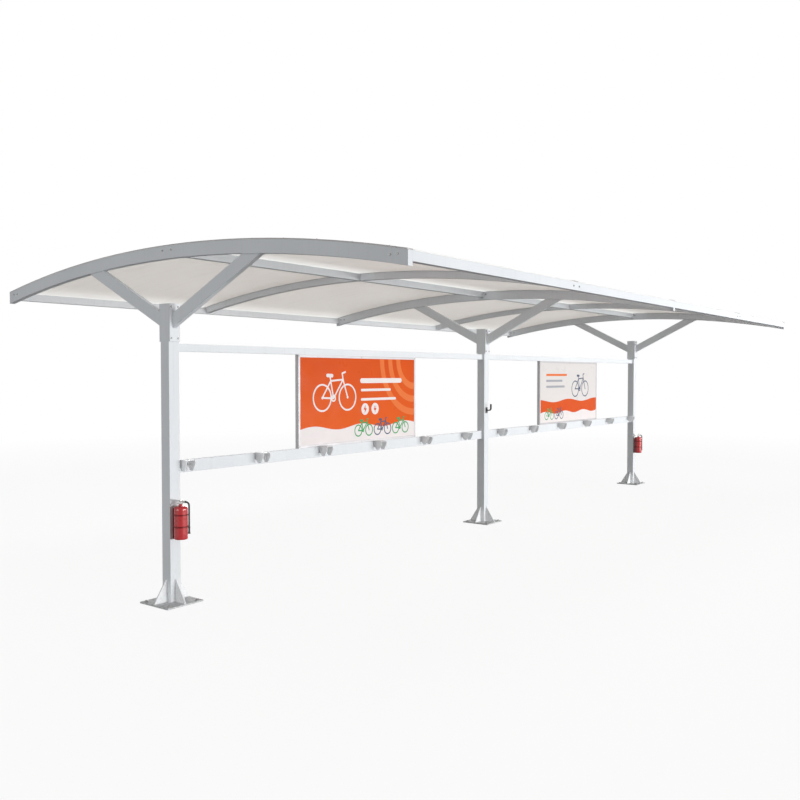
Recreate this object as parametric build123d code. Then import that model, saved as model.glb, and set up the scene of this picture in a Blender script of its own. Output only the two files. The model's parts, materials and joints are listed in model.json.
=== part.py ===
from build123d import *
import math
import os

# Double sided bike shelter. X runs along the row of posts, Y across it, Z up, all in millimetres.
# The origin is on the ground under the middle post. Near is the -X end, front is the -Y side.

# Row of posts
bay_length = 4720
post_width = 100
post_wall = 4
post_top_height = 2383

# Feet
plate_width = 350
plate_thickness = 12
anchor_spacing = 280
anchor_hole_radius = 9
gusset_reach = 120
gusset_height = 180
gusset_thickness = 10
gusset_nose = 8

# Arched roof frame
roof_span = 4750
roof_rise = 234
eave_lift = 221
rib_depth = 100
rib_width = 50
small_rib_depth = 70
small_rib_width = 50
purlin_depth = 70
purlin_width = 50
frame_wall = 3

# Struts from the posts up to the main ribs
flange_height = 300
flange_thickness = 14
strut_depth = 100
strut_width = 40
strut_foot_drop = 132
strut_reach = 960

# Roof covering
sheet_thickness = 5
sheet_joint = 6
strip_width = 50
strip_thickness = 3

# Rails between the posts
upper_rail_drop = 313
upper_rail_depth = 62
upper_rail_width = 40
lower_rail_top = 1134
lower_rail_depth = 100
lower_rail_width = 30
rail_wall = 3

# Notice boards between the rails
board_width = 1840
board_thickness = 40
board_border = 24
panel_thickness = 4
panel_recess = 2

# Hooded socket units along the lower rail
socket_count = 12
socket_near_setback = 110
socket_far_setback = 200
socket_width = 90
socket_depth = 102
socket_wall = 5
hood_drop = 86
hood_lip = 30
hood_heel = 28
hood_toe_share = 0.53
hood_toe_width = 36
hood_toe_round = 16
socket_block_depth = 42
socket_block_drop = 58

# Fire extinguishers on the end posts
cylinder_radius = 54
cylinder_length = 263
cylinder_base_height = 522
shoulder_rise = 34
shoulder_round = 28
shoulder_turn = 45
cylinder_heel = 6
cylinder_standoff = 16
neck_radius = 14
neck_length = 16
valve_radius = 16
valve_length = 30
head_turn = 40
lever_length = 88
lever_width = 16
lever_thickness = 5
lever_pitch = 9
handle_pitch = 14
outlet_radius = 8
outlet_reach = 32
hose_radius = 7
hose_sides = 8
hose_bend = 22
nozzle_radius = 10
nozzle_length = 52
nozzle_lift = 40
bracket_width = 44
bracket_thickness = 3
bracket_tail = 24
band_height = 12
band_thickness = 2
band_shares = (0.38, 0.74)
tray_reach = 78

# Hook on the middle post
hook_height = 1385
hook_plate_width = 44
hook_plate_height = 70
hook_plate_thickness = 4
hook_bar_width = 20
hook_bar_thickness = 14
hook_reach = 34
hook_bend = 26
hook_rise = 44

# Clearance between neighbours that meet on a curve
seat_gap = 0.3

# Derived places
post_half = post_width / 2
post_places = {"near": -bay_length, "middle": 0, "far": bay_length}
bay_places = {"near": -bay_length / 2, "far": bay_length / 2}
half_span = roof_span / 2
eave_top_height = post_top_height + eave_lift
arch_radius = (half_span ** 2 + roof_rise ** 2) / (2 * roof_rise)
arch_centre_height = eave_top_height + roof_rise - arch_radius
crown_height = arch_centre_height + arch_radius
strut_foot = post_half + flange_thickness
strut_foot_height = post_top_height - strut_foot_drop
upper_rail_top = post_top_height - upper_rail_drop
upper_rail_base = upper_rail_top - upper_rail_depth
lower_rail_base = lower_rail_top - lower_rail_depth


def block(x_range, y_range, z_range):
    """Solid block between two opposite corners."""
    spans = (x_range, y_range, z_range)
    centre = [(low + high) / 2 for low, high in spans]
    size = [high - low for low, high in spans]
    return Pos(*centre) * Box(*size)


def tube(x_range, y_range, z_range, wall):
    """Box section with closed ends."""
    spans = (x_range, y_range, z_range)
    inner = [(low + wall, high - wall) for low, high in spans]
    return block(*spans) - block(*inner)


def about(middle, width):
    """The two ends of a width centred on a place."""
    return (middle - width / 2, middle + width / 2)


def arch_outline(outer_radius, depth, half_width):
    """Curved bar seen along X, with its ends cut upright."""
    ring = Circle(outer_radius) - Circle(outer_radius - depth)
    window = Pos(0, outer_radius) * Rectangle(2 * half_width, outer_radius)
    return Pos(0, arch_centre_height) * (ring & window)


def swept_along_x(outline, x_range):
    """An outline drawn across the shelter, carried along X."""
    low, high = x_range
    return Pos(low, 0, 0) * extrude(Plane.YZ * outline, high - low)


def arched_tube(place, depth, width, half_width):
    """Hollow rib with closed ends, its top on the arch of the roof."""
    low, high = about(place, width)
    skin = arch_outline(arch_radius, depth, half_width)
    core = arch_outline(arch_radius - frame_wall, depth - 2 * frame_wall, half_width - frame_wall)
    return swept_along_x(skin, (low, high)) - swept_along_x(core, (low + frame_wall, high - frame_wall))


def arched_sheet(outer_radius, thickness, x_range):
    """Thin curved sheet as wide as the roof."""
    return swept_along_x(arch_outline(outer_radius, thickness, half_span), x_range)


def post(place):
    """Square post, standing on its base plate and capped at the top."""
    side = about(0, post_width)
    return Pos(place, 0, 0) * tube(side, side, (plate_thickness, post_top_height), post_wall)


def base_plate(place):
    """Square plate with four anchor holes."""
    side = about(0, plate_width)
    plate = block(side, side, (0, plate_thickness))
    hole = Pos(0, 0, plate_thickness / 2) * Cylinder(anchor_hole_radius, plate_thickness)
    for spot in GridLocations(anchor_spacing, anchor_spacing, 2, 2):
        plate = plate - spot * hole
    return Pos(place, 0, 0) * plate


def base_gussets(place):
    """Four upright triangles, one in the middle of each post face."""
    outline = Polyline(
        (0, 0),
        (gusset_reach, 0),
        (gusset_reach, gusset_nose),
        (gusset_nose, gusset_height),
        (0, gusset_height),
        close=True,
    )
    flat = extrude(Plane.XZ * make_face(outline), gusset_thickness / 2, both=True)
    stood = Pos(post_half, 0, plate_thickness) * flat
    return [Pos(place, 0, 0) * Rot(0, 0, 90 * turn) * stood for turn in range(4)]


def strut_flanges(place):
    """Bolted plates on the two sides of a post, level with its top."""
    across = (post_half, strut_foot)
    upright = (post_top_height - flange_height, post_top_height)
    plate = Pos(place, 0, 0) * block(about(0, post_width), across, upright)
    return [plate, mirror(plate, about=Plane.XZ)]


def strut_outline(inset):
    """Side of the +Y strut, drawn in by an inset on every edge."""
    under_radius = arch_radius - rib_depth - seat_gap
    head_height = arch_centre_height + math.sqrt(under_radius ** 2 - strut_reach ** 2)
    run = strut_reach - strut_foot
    climb = head_height - strut_foot_height
    slope = math.degrees(math.atan2(climb, run))
    length = math.hypot(run, climb)
    strip = Rot(0, 0, slope) * Rectangle(2 * length, strut_depth - 2 * inset)
    strip = Pos(strut_foot + run / 2, strut_foot_height + climb / 2) * strip
    clear = Pos(strut_foot + inset + half_span / 2, strut_foot_height) * Rectangle(half_span, half_span)
    below = Pos(0, arch_centre_height) * Circle(under_radius - inset)
    return strip & clear & below


def strut(place):
    """Hollow diagonal from the post flange to the underside of the main rib, on the +Y side."""
    low, high = about(place, strut_width)
    skin = swept_along_x(strut_outline(0), (low, high))
    core = swept_along_x(strut_outline(frame_wall), (low + frame_wall, high - frame_wall))
    return skin - core


def eave_beam(bay):
    """Straight beam between two main ribs on the +Y edge of the roof."""
    along = about(bay, bay_length - rib_width)
    across = (half_span - purlin_width, half_span)
    upright = (eave_top_height - purlin_depth, eave_top_height)
    return tube(along, across, upright, frame_wall)


def ridge_purlin(start, stop):
    """Straight beam between the sides of two ribs at the crown."""
    upright = (crown_height - purlin_depth, crown_height)
    return tube((start, stop), about(0, purlin_width), upright, frame_wall)


def board_frame(bay):
    """Rectangular frame held between the two rails."""
    along = about(bay, board_width)
    upright = (lower_rail_top, upper_rail_base)
    outer = block(along, about(0, board_thickness), upright)
    inside = [(low + board_border, high - board_border) for low, high in (along, upright)]
    return outer - block(inside[0], about(0, board_thickness), inside[1])


def board_panels(bay):
    """Front and back panels, seated a little inside the frame."""
    held = board_border + seat_gap
    along = about(bay, board_width - 2 * held)
    upright = (lower_rail_top + held, upper_rail_base - held)
    outer_face = board_thickness / 2 - panel_recess
    panel = block(along, (outer_face - panel_thickness, outer_face), upright)
    return [panel, mirror(panel, about=Plane.XZ)]


def socket_unit(place):
    """Hood with two tongue shaped cheeks, a top plate over the rail and a socket block between them."""
    rail_face = lower_rail_width / 2
    toe = socket_depth * hood_toe_share
    cheek_line = Polyline(
        (0, 0),
        (socket_depth, 0),
        (socket_depth, -hood_lip),
        (toe + hood_toe_width / 2, -hood_drop),
        (toe - hood_toe_width / 2, -hood_drop),
        (0, -hood_heel),
        close=True,
    )
    cheek_face = make_face(cheek_line)
    cheek_face = fillet(cheek_face.vertices().sort_by(Axis.Y)[:2], hood_toe_round)
    cheek = swept_along_x(cheek_face, about(socket_width / 2 - socket_wall / 2, socket_wall))
    cheek = Pos(0, rail_face, lower_rail_top) * cheek
    top_start = max(rail_face, board_thickness / 2 + seat_gap)
    top = block(
        about(0, socket_width),
        (top_start, rail_face + socket_depth),
        (lower_rail_top, lower_rail_top + socket_wall),
    )
    core = block(
        about(0, socket_width - 2 * socket_wall),
        (rail_face, rail_face + socket_block_depth),
        (lower_rail_top - socket_block_drop, lower_rail_top),
    )
    unit = top + core + cheek + mirror(cheek, about=Plane.YZ)
    return Pos(place, 0, 0) * mirror(unit, about=Plane.XZ)


def extinguisher_cylinder():
    """Upright cylinder turned about Z, with a chamfered heel, a domed shoulder and a neck."""
    shoulder = (cylinder_radius, cylinder_length - shoulder_rise)
    neck_top = cylinder_length + neck_length
    side = Polyline((0, 0), (cylinder_radius - cylinder_heel, 0), (cylinder_radius, cylinder_heel), shoulder)
    dome = JernArc(shoulder, (0, 1), shoulder_round, shoulder_turn)
    crown = Polyline(dome @ 1, (neck_radius, cylinder_length), (neck_radius, neck_top), (0, neck_top), (0, 0))
    return revolve(Plane.XZ * make_face(side + dome + crown), Axis.Z)


def extinguisher_valve():
    """Hexagonal body with a lever and a carrying handle on one side and the hose outlet on the other."""
    base = cylinder_length + neck_length
    body = Pos(0, 0, base) * extrude(RegularPolygon(valve_radius, 6), valve_length)
    outlet = Rot(0, 90, 0) * extrude(RegularPolygon(outlet_radius, 6), outlet_reach)
    outlet = Pos(0, 0, base + valve_length / 2) * outlet
    arm = Pos(-lever_length / 2, 0, 0) * Box(lever_length, lever_width, lever_thickness)
    lever = Pos(0, 0, base + valve_length - lever_thickness) * Rot(0, lever_pitch, 0) * arm
    handle = Pos(0, 0, base + lever_thickness + lever_thickness) * Rot(0, -handle_pitch, 0) * arm
    return Rot(0, 0, -head_turn) * (body + outlet + lever + handle)


def extinguisher_hose():
    """Hose from the outlet down the side of the cylinder, ending in a nozzle."""
    start_height = cylinder_length + neck_length + valve_length / 2
    run = cylinder_radius + band_thickness + 2 * seat_gap + nozzle_radius
    nozzle_top = nozzle_lift + nozzle_length
    corners = [(outlet_reach, 0, start_height), (run, 0, start_height), (run, 0, nozzle_top)]
    route = FilletPolyline(*corners, radius=hose_bend)
    exit_plane = Plane(origin=(outlet_reach, 0, start_height), z_dir=(1, 0, 0))
    pipe = sweep(exit_plane * RegularPolygon(hose_radius, hose_sides), path=route)
    mouth = Pos(run, 0, nozzle_lift) * RegularPolygon(nozzle_radius, hose_sides)
    grip = Pos(run, 0, nozzle_top) * RegularPolygon(hose_radius, hose_sides)
    return Rot(0, 0, -head_turn) * (pipe + loft([mouth, grip]))


def extinguisher_bracket():
    """Strip on the post, with a tray under the cylinder and bands around it."""
    face = cylinder_radius + cylinder_standoff
    strip = block(
        about(0, bracket_width),
        (face - bracket_thickness, face),
        (-bracket_thickness, cylinder_length - bracket_tail),
    )
    tray = block(about(0, bracket_width), (face - tray_reach, face), (-bracket_thickness, 0))
    inner = cylinder_radius + seat_gap
    hoop = Cylinder(inner + band_thickness, band_height) - Cylinder(inner, band_height)
    link = block(about(0, bracket_width), (inner + band_thickness / 2, face), about(0, band_height))
    link = link - Cylinder(inner, band_height)
    bracket = strip + tray
    for share in band_shares:
        bracket = bracket + Pos(0, 0, cylinder_length * share) * (hoop + link)
    return bracket


def on_post_front(piece, place):
    """A piece drawn around the cylinder axis, hung on the front of a post."""
    return Pos(place, -post_half - cylinder_standoff - cylinder_radius, cylinder_base_height) * piece


def post_hook():
    """Flat plate with an upturned flat bar, on the front of the middle post."""
    root = post_half + hook_plate_thickness
    plate = block(about(0, hook_plate_width), (post_half, root), about(hook_height, hook_plate_height))
    elbow = root + hook_reach + hook_bend
    tip_height = hook_height + hook_bend + hook_rise
    route = FilletPolyline((root, hook_height), (elbow, hook_height), (elbow, tip_height), radius=hook_bend)
    outline = trace(route, line_width=hook_bar_thickness)
    outline = outline + Pos(elbow, tip_height) * Circle(hook_bar_thickness / 2)
    bar = swept_along_x(outline, about(0, hook_bar_width))
    return mirror(plate + bar, about=Plane.XZ)


def main():
    nodes = {}
    gussets = []
    flanges = []
    for name, place in post_places.items():
        nodes[f"post_{name}"] = post(place)
        nodes[f"base_plate_{name}"] = base_plate(place)
        gussets += base_gussets(place)
        flanges += strut_flanges(place)
        nodes[f"main_rib_{name}"] = arched_tube(place, rib_depth, rib_width, half_span)
        nodes[f"strut_{name}_back"] = strut(place)
        nodes[f"strut_{name}_front"] = mirror(strut(place), about=Plane.XZ)
    nodes["base_gussets"] = Compound(gussets)
    nodes["strut_flanges"] = Compound(flanges)

    rib_edge = rib_width / 2
    small_edge = small_rib_width / 2
    for name, bay in bay_places.items():
        start = bay - bay_length / 2
        stop = bay + bay_length / 2
        between_eaves = half_span - purlin_width
        nodes[f"small_rib_{name}"] = arched_tube(bay, small_rib_depth, small_rib_width, between_eaves)
        nodes[f"eave_beam_{name}_back"] = eave_beam(bay)
        nodes[f"eave_beam_{name}_front"] = mirror(eave_beam(bay), about=Plane.XZ)
        halves = [
            ridge_purlin(start + rib_edge, bay - small_edge),
            ridge_purlin(bay + small_edge, stop - rib_edge),
        ]
        nodes[f"ridge_purlins_{name}"] = Compound(halves)
        between = about(bay, bay_length - post_width)
        nodes[f"upper_rail_{name}"] = tube(
            between, about(0, upper_rail_width), (upper_rail_base, upper_rail_top), rail_wall
        )
        nodes[f"lower_rail_{name}"] = tube(
            between, about(0, lower_rail_width), (lower_rail_base, lower_rail_top), rail_wall
        )
        nodes[f"board_frame_{name}"] = board_frame(bay)
        nodes[f"board_panels_{name}"] = Compound(board_panels(bay))

    # The sheets meet over the ribs and the end sheets finish flush with the end ribs.
    sheet_radius = arch_radius + seat_gap + sheet_thickness
    seams = [bay_length * step / 2 for step in range(-2, 3)]
    for number, (start, stop) in enumerate(zip(seams, seams[1:]), 1):
        low = start - rib_edge if start == seams[0] else start + sheet_joint / 2
        high = stop + rib_edge if stop == seams[-1] else stop - sheet_joint / 2
        nodes[f"roof_sheet_{number}"] = arched_sheet(sheet_radius, sheet_thickness, (low, high))
    strip_radius = sheet_radius + seat_gap + strip_thickness
    strips = [arched_sheet(strip_radius, strip_thickness, about(seam, strip_width)) for seam in seams]
    nodes["roof_cover_strips"] = Compound(strips)

    first_socket = socket_near_setback - bay_length
    socket_pitch = (2 * bay_length - socket_near_setback - socket_far_setback) / (socket_count - 1)
    places = [first_socket + socket_pitch * number for number in range(socket_count)]
    nodes["sockets_near"] = Compound([socket_unit(place) for place in places if place < 0])
    nodes["sockets_far"] = Compound([socket_unit(place) for place in places if place > 0])

    pieces = {
        "cylinders": extinguisher_cylinder(),
        "valves": extinguisher_valve(),
        "hoses": extinguisher_hose(),
        "brackets": extinguisher_bracket(),
    }
    for name, piece in pieces.items():
        pair = [on_post_front(piece, post_places[end]) for end in ("near", "far")]
        nodes[f"extinguisher_{name}"] = Compound(pair)
    nodes["post_hook"] = post_hook()

    os.makedirs("parts", exist_ok=True)
    for name, shape in nodes.items():
        export_step(shape, f"parts/{name}.step")


main()
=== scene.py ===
import json
import math

import bmesh
import bpy
from mathutils import Matrix, Vector


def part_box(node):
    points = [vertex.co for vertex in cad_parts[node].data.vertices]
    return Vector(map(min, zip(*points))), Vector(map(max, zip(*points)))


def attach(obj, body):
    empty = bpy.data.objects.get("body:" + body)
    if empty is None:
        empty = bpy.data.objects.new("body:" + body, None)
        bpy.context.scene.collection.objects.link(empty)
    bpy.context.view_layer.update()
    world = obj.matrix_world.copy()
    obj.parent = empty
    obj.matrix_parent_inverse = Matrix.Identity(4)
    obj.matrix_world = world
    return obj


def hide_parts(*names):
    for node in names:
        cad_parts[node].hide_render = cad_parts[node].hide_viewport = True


# Looks of a double sided bike shelter, in metres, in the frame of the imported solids.
# Near is the -X end, front is the -Y side.

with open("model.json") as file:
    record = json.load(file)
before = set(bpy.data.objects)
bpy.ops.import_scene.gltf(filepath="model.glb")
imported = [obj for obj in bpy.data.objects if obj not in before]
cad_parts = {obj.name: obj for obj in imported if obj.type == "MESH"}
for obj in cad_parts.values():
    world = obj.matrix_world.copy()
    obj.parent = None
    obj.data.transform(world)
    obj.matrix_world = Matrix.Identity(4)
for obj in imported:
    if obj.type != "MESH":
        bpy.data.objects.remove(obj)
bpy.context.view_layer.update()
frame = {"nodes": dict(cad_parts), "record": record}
nodes = frame["nodes"]

POST_ENDS = ("near", "middle", "far")
BAY_ENDS = ("near", "far")
LEFT, RIGHT = Vector((-1, 0, 0)), Vector((1, 0, 0))
FRONT, BACK = Vector((0, -1, 0)), Vector((0, 1, 0))
UP, DOWN = Vector((0, 0, 1)), Vector((0, 0, -1))
FULL_TURN = 2 * math.pi


def middle(node):
    """Centre of a node's box."""
    low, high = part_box(node)
    return (low + high) / 2


# Places taken from the frame

post_x = {end: middle(f"post_{end}").x for end in POST_ENDS}
bay_x = {end: middle(f"small_rib_{end}").x for end in BAY_ENDS}
rib_low, rib_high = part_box("main_rib_middle")
half_span = rib_high.y
crown_height = rib_high.z
eave_foot, eave_top = (corner.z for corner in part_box("eave_beam_near_front"))
arch_rise = crown_height - eave_top
arch_radius = (half_span ** 2 + arch_rise ** 2) / (2 * arch_rise)
arch_centre = crown_height - arch_radius
under_radius = math.hypot(half_span, rib_low.z - arch_centre)
strip_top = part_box("roof_cover_strips")[1].z
sheet_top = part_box("roof_sheet_1")[1].z


def arch_point(x, y, crown):
    """A place on an arch of the roof that has a given height at the crown."""
    radius = crown - arch_centre
    return Vector((x, y, arch_centre + math.sqrt(radius ** 2 - y ** 2)))


def arch_normal(y):
    """Outward direction of the roof at a place across it."""
    return Vector((0, y, math.sqrt(arch_radius ** 2 - y ** 2))).normalized()


# Shader helpers

def srgb(red, green, blue):
    """A colour as seen on screen, from 0 to 255, as the linear colour that shaders take."""
    shares = [value / 255 for value in (red, green, blue)]
    linear = [
        share / 12.92 if share <= 0.04045 else ((share + 0.055) / 1.055) ** 2.4 for share in shares
    ]
    return (*linear, 1.0)


def add_node(tree, kind, inputs=None, **settings):
    """A shader node with its settings, and its inputs given as values or as sockets to link."""
    made = tree.nodes.new(kind)
    for key, value in settings.items():
        setattr(made, key, value)
    for key, value in (inputs or {}).items():
        if isinstance(value, bpy.types.NodeSocket):
            tree.links.new(value, made.inputs[key])
        else:
            made.inputs[key].default_value = value
    return made


def new_material(name):
    """A material with one Principled shader."""
    material = bpy.data.materials.new(name)
    material.use_nodes = True
    return material, material.node_tree, material.node_tree.nodes["Principled BSDF"]


def place_of(tree):
    """Place on the object, in metres."""
    return add_node(tree, "ShaderNodeTexCoord").outputs["Object"]


def stretched(tree, place, scale):
    """A place scaled apart along X, Y and Z."""
    return add_node(tree, "ShaderNodeMapping", {"Vector": place, "Scale": scale}).outputs[0]


def noise(tree, place, scale, detail=2.0):
    inputs = {"Vector": place, "Scale": scale, "Detail": detail}
    return add_node(tree, "ShaderNodeTexNoise", inputs).outputs[0]


def remap(tree, value, low, high, to_low, to_high):
    """A value carried from one range to another, held at its ends."""
    inputs = {"Value": value, "From Min": low, "From Max": high, "To Min": to_low, "To Max": to_high}
    return add_node(tree, "ShaderNodeMapRange", inputs).outputs["Result"]


def math_of(tree, operation, *values):
    inputs = dict(enumerate(values))
    return add_node(tree, "ShaderNodeMath", inputs, operation=operation).outputs[0]


def mix_colour(tree, factor, first, second):
    inputs = {0: factor, 6: first, 7: second}
    return add_node(tree, "ShaderNodeMix", inputs, data_type="RGBA").outputs[2]


def show_mix(tree, share, first, second):
    """Makes a mix of two shaders the surface of the material."""
    inputs = {0: share, 1: first.outputs[0], 2: second.outputs[0]}
    both = add_node(tree, "ShaderNodeMixShader", inputs)
    tree.links.new(both.outputs[0], tree.nodes["Material Output"].inputs["Surface"])


def axis_of(tree, place, axis):
    return add_node(tree, "ShaderNodeSeparateXYZ", {0: place}).outputs[axis]


def set_bump(tree, shader, height, strength, distance, rounding=0.0):
    """Bump from a height, on edges rounded by a radius."""
    inputs = {"Height": height, "Strength": strength, "Distance": distance}
    if rounding:
        bevel = add_node(tree, "ShaderNodeBevel", {"Radius": rounding}, samples=4)
        inputs["Normal"] = bevel.outputs[0]
    bump = add_node(tree, "ShaderNodeBump", inputs)
    tree.links.new(bump.outputs[0], shader.inputs["Normal"])


# Materials

NOISE_SPREAD = (0.3, 0.7)
PAINT_SPECULAR = 0.08
PAINT_ROUGHNESS = (0.58, 0.72)
# Heights over which the painted bounce light at the foot fades out, and its share at the foot
PAINTED_BOUNCE_LEVELS = (0.10, 0.20)
PAINTED_BOUNCE_SHARE = 0.6
SPLASH_LEVELS = (0.02, 0.42)
PLATE_DUST_LEVELS = (0.0125, 0.018)
PLATE_DUST_SHARES = (0.2, 0.9)
SHEET_ROUGHNESS = 0.34
SHEET_THROUGH = (0.52, 0.78)
# Width of the painted glow bands along the eaves and the ridge, and the glow's share at the eaves
GLOW_BAND = 0.36
EAVE_GLOW_SHARE = 0.75
HOOD_THROUGH = 0.4
COAT_ROUGHNESS = 0.08
PRINT_SPECULAR = 0.05
PRINT_ROUGHNESS = (0.26, 0.4)


def frame_paint(name, dark, light):
    """Powder coat with clouding, rain streaks, orange peel, dust and splashes near the ground, and
    painted bounce light that makes the foot paler.
    """
    material, tree, shader = new_material(name)
    place = place_of(tree)
    tone = mix_colour(tree, noise(tree, place, 1.6, 4.0), dark, light)
    runs = noise(tree, stretched(tree, place, (38, 38, 1.6)), 1.0, 3.0)
    tone = mix_colour(tree, remap(tree, runs, 0.54, 0.8, 0.0, 0.16), tone, srgb(190, 190, 186))
    height = axis_of(tree, place, "Z")
    # Painted bounce light: the paint turns paler towards the ground, below 0.1 to 0.2 m.
    painted_bounce = remap(tree, height, *PAINTED_BOUNCE_LEVELS, PAINTED_BOUNCE_SHARE, 0.0)
    tone = mix_colour(tree, painted_bounce, tone, srgb(229, 231, 233))
    near_ground = remap(tree, height, *SPLASH_LEVELS, 1.0, 0.0)
    specks = remap(tree, noise(tree, place, 70.0, 5.0), 0.46, 0.74, 0.0, 0.3)
    splash = math_of(tree, "MULTIPLY", near_ground, specks)
    tone = mix_colour(tree, splash, tone, srgb(160, 155, 146))
    on_plate = remap(tree, height, *PLATE_DUST_LEVELS, 1.0, 0.0)
    dust = remap(tree, noise(tree, place, 46.0, 5.0), *NOISE_SPREAD, *PLATE_DUST_SHARES)
    tone = mix_colour(tree, math_of(tree, "MULTIPLY", on_plate, dust), tone, srgb(168, 169, 169))
    tree.links.new(tone, shader.inputs["Base Color"])
    shader.inputs["Specular IOR Level"].default_value = PAINT_SPECULAR
    rough = remap(tree, noise(tree, place, 24.0), *NOISE_SPREAD, *PAINT_ROUGHNESS)
    tree.links.new(rough, shader.inputs["Roughness"])
    set_bump(tree, shader, noise(tree, place, 430.0), 0.14, 0.0006, rounding=0.004)
    return material


def roof_sheet():
    """Opal sheet that lets light through, with faint runs, and a painted glow along the eaves and the
    ridge, where the tone is lighter and more light passes through.
    """
    material, tree, shader = new_material("roof_sheet")
    place = place_of(tree)
    tone = mix_colour(tree, noise(tree, place, 0.9, 4.0), srgb(237, 234, 231), srgb(244, 242, 239))
    runs = noise(tree, stretched(tree, place, (26, 1.3, 1)), 1.0, 3.0)
    tone = mix_colour(tree, remap(tree, runs, 0.5, 0.78, 0.0, 0.25), tone, srgb(222, 219, 214))
    # Painted glow: a near white tone in bands along the eaves and the ridge, which also lifts the shade
    # beside the ridge purlin.
    from_ridge = math_of(tree, "ABSOLUTE", axis_of(tree, place, "Y"))
    along_eaves = remap(tree, from_ridge, half_span - GLOW_BAND, half_span, 0.0, 1.0)
    along_ridge = remap(tree, from_ridge, 0.0, GLOW_BAND, 1.0, 0.0)
    eave_glow_share = math_of(tree, "MULTIPLY", along_eaves, EAVE_GLOW_SHARE)
    painted_glow = math_of(tree, "MAXIMUM", eave_glow_share, along_ridge)
    tone = mix_colour(tree, painted_glow, tone, srgb(250, 250, 249))
    tree.links.new(tone, shader.inputs["Base Color"])
    shader.inputs["Roughness"].default_value = SHEET_ROUGHNESS
    set_bump(tree, shader, noise(tree, place, 14.0), 0.1, 0.004)
    glow = add_node(tree, "ShaderNodeBsdfTranslucent", {"Color": tone})
    through = remap(tree, painted_glow, 0.0, 1.0, *SHEET_THROUGH)
    show_mix(tree, through, shader, glow)
    return material


def brushed(name, dark, light, grain, roughness, metallic=1.0, rounding=0.002):
    """Metal with a brushed grain and smudges."""
    material, tree, shader = new_material(name)
    place = place_of(tree)
    lines = noise(tree, stretched(tree, place, grain), 1.0, 3.0)
    tone = mix_colour(tree, lines, dark, light)
    tree.links.new(tone, shader.inputs["Base Color"])
    shader.inputs["Metallic"].default_value = metallic
    spread = (roughness - 0.07, roughness + 0.07)
    rough = remap(tree, noise(tree, place, 18.0), *NOISE_SPREAD, *spread)
    tree.links.new(rough, shader.inputs["Roughness"])
    set_bump(tree, shader, lines, 0.1, 0.0004, rounding=rounding)
    return material


def moulded(name, first, second, roughness, grain=0.1, coat=0.0, rounding=0.0015, specular=0.5):
    """Plastic, enamel or rubber with faint clouding and a fine surface grain."""
    material, tree, shader = new_material(name)
    place = place_of(tree)
    tone = mix_colour(tree, noise(tree, place, 9.0, 4.0), first, second)
    tree.links.new(tone, shader.inputs["Base Color"])
    spread = (roughness - 0.06, roughness + 0.06)
    rough = remap(tree, noise(tree, place, 40.0), *NOISE_SPREAD, *spread)
    tree.links.new(rough, shader.inputs["Roughness"])
    shader.inputs["Specular IOR Level"].default_value = specular
    shader.inputs["Coat Weight"].default_value = coat
    shader.inputs["Coat Roughness"].default_value = COAT_ROUGHNESS
    set_bump(tree, shader, noise(tree, place, 700.0), grain, 0.0004, rounding=rounding)
    return material


def hood_plastic():
    """Pale hood plastic that lets some light through its thin walls."""
    material = moulded("socket_plastic", srgb(233, 235, 236), srgb(241, 242, 243), 0.46)
    tree = material.node_tree
    glow = add_node(tree, "ShaderNodeBsdfTranslucent", {"Color": srgb(240, 241, 242)})
    show_mix(tree, HOOD_THROUGH, tree.nodes["Principled BSDF"], glow)
    return material


def printed_panel(name, top, foot):
    """Printed board: a colour that runs from top to foot, under a satin film."""
    material, tree, shader = new_material(name)
    place = place_of(tree)
    low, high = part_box("board_panels_near")
    share = remap(tree, axis_of(tree, place, "Z"), low.z, high.z, 0.0, 1.0)
    cloud = remap(tree, noise(tree, place, 2.2, 3.0), *NOISE_SPREAD, 0.75, 1.25)
    tone = mix_colour(tree, math_of(tree, "MULTIPLY", cloud, share), foot, top)
    tree.links.new(tone, shader.inputs["Base Color"])
    rough = remap(tree, noise(tree, place, 6.0), *NOISE_SPREAD, *PRINT_ROUGHNESS)
    tree.links.new(rough, shader.inputs["Roughness"])
    shader.inputs["Specular IOR Level"].default_value = PRINT_SPECULAR
    set_bump(tree, shader, noise(tree, place, 300.0), 0.06, 0.0003)
    return material


paint = frame_paint("frame_paint", srgb(211, 215, 219), srgb(222, 225, 228))
# Paler copy of the frame paint for the gussets and foot welds: painted bounce light in the corners of
# the feet.
bounce_lit_gusset_paint = frame_paint("bounce_lit_gusset_paint", srgb(225, 227, 229), srgb(231, 233, 235))
aluminium = brushed(
    "trim_aluminium", srgb(176, 174, 176), srgb(196, 194, 196), (5, 420, 420), 0.44, metallic=0.2
)
steel = brushed(
    "plated_steel", srgb(150, 151, 150), srgb(188, 188, 186), (160, 160, 160), 0.36, rounding=0.0008
)
dull_steel = brushed(
    "dull_steel", srgb(140, 140, 139), srgb(162, 161, 158), (90, 90, 90), 0.5, rounding=0.0008
)
plastic = hood_plastic()
dark_plastic = moulded("dark_plastic", srgb(44, 45, 48), srgb(56, 57, 60), 0.5)
enamel = moulded(
    "red_enamel", srgb(170, 20, 27), srgb(182, 25, 32), 0.3, grain=0.02, coat=0.4, specular=0.35
)
band_enamel = moulded(
    "band_enamel", srgb(112, 14, 21), srgb(124, 18, 25), 0.4, grain=0.04, specular=0.2
)
rubber = moulded("black_rubber", srgb(26, 26, 27), srgb(38, 38, 39), 0.62)
orange_panel = printed_panel("orange_panel", srgb(199, 75, 19), srgb(213, 89, 23))
pale_panel = printed_panel("pale_panel", srgb(206, 203, 202), srgb(212, 207, 205))
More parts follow.
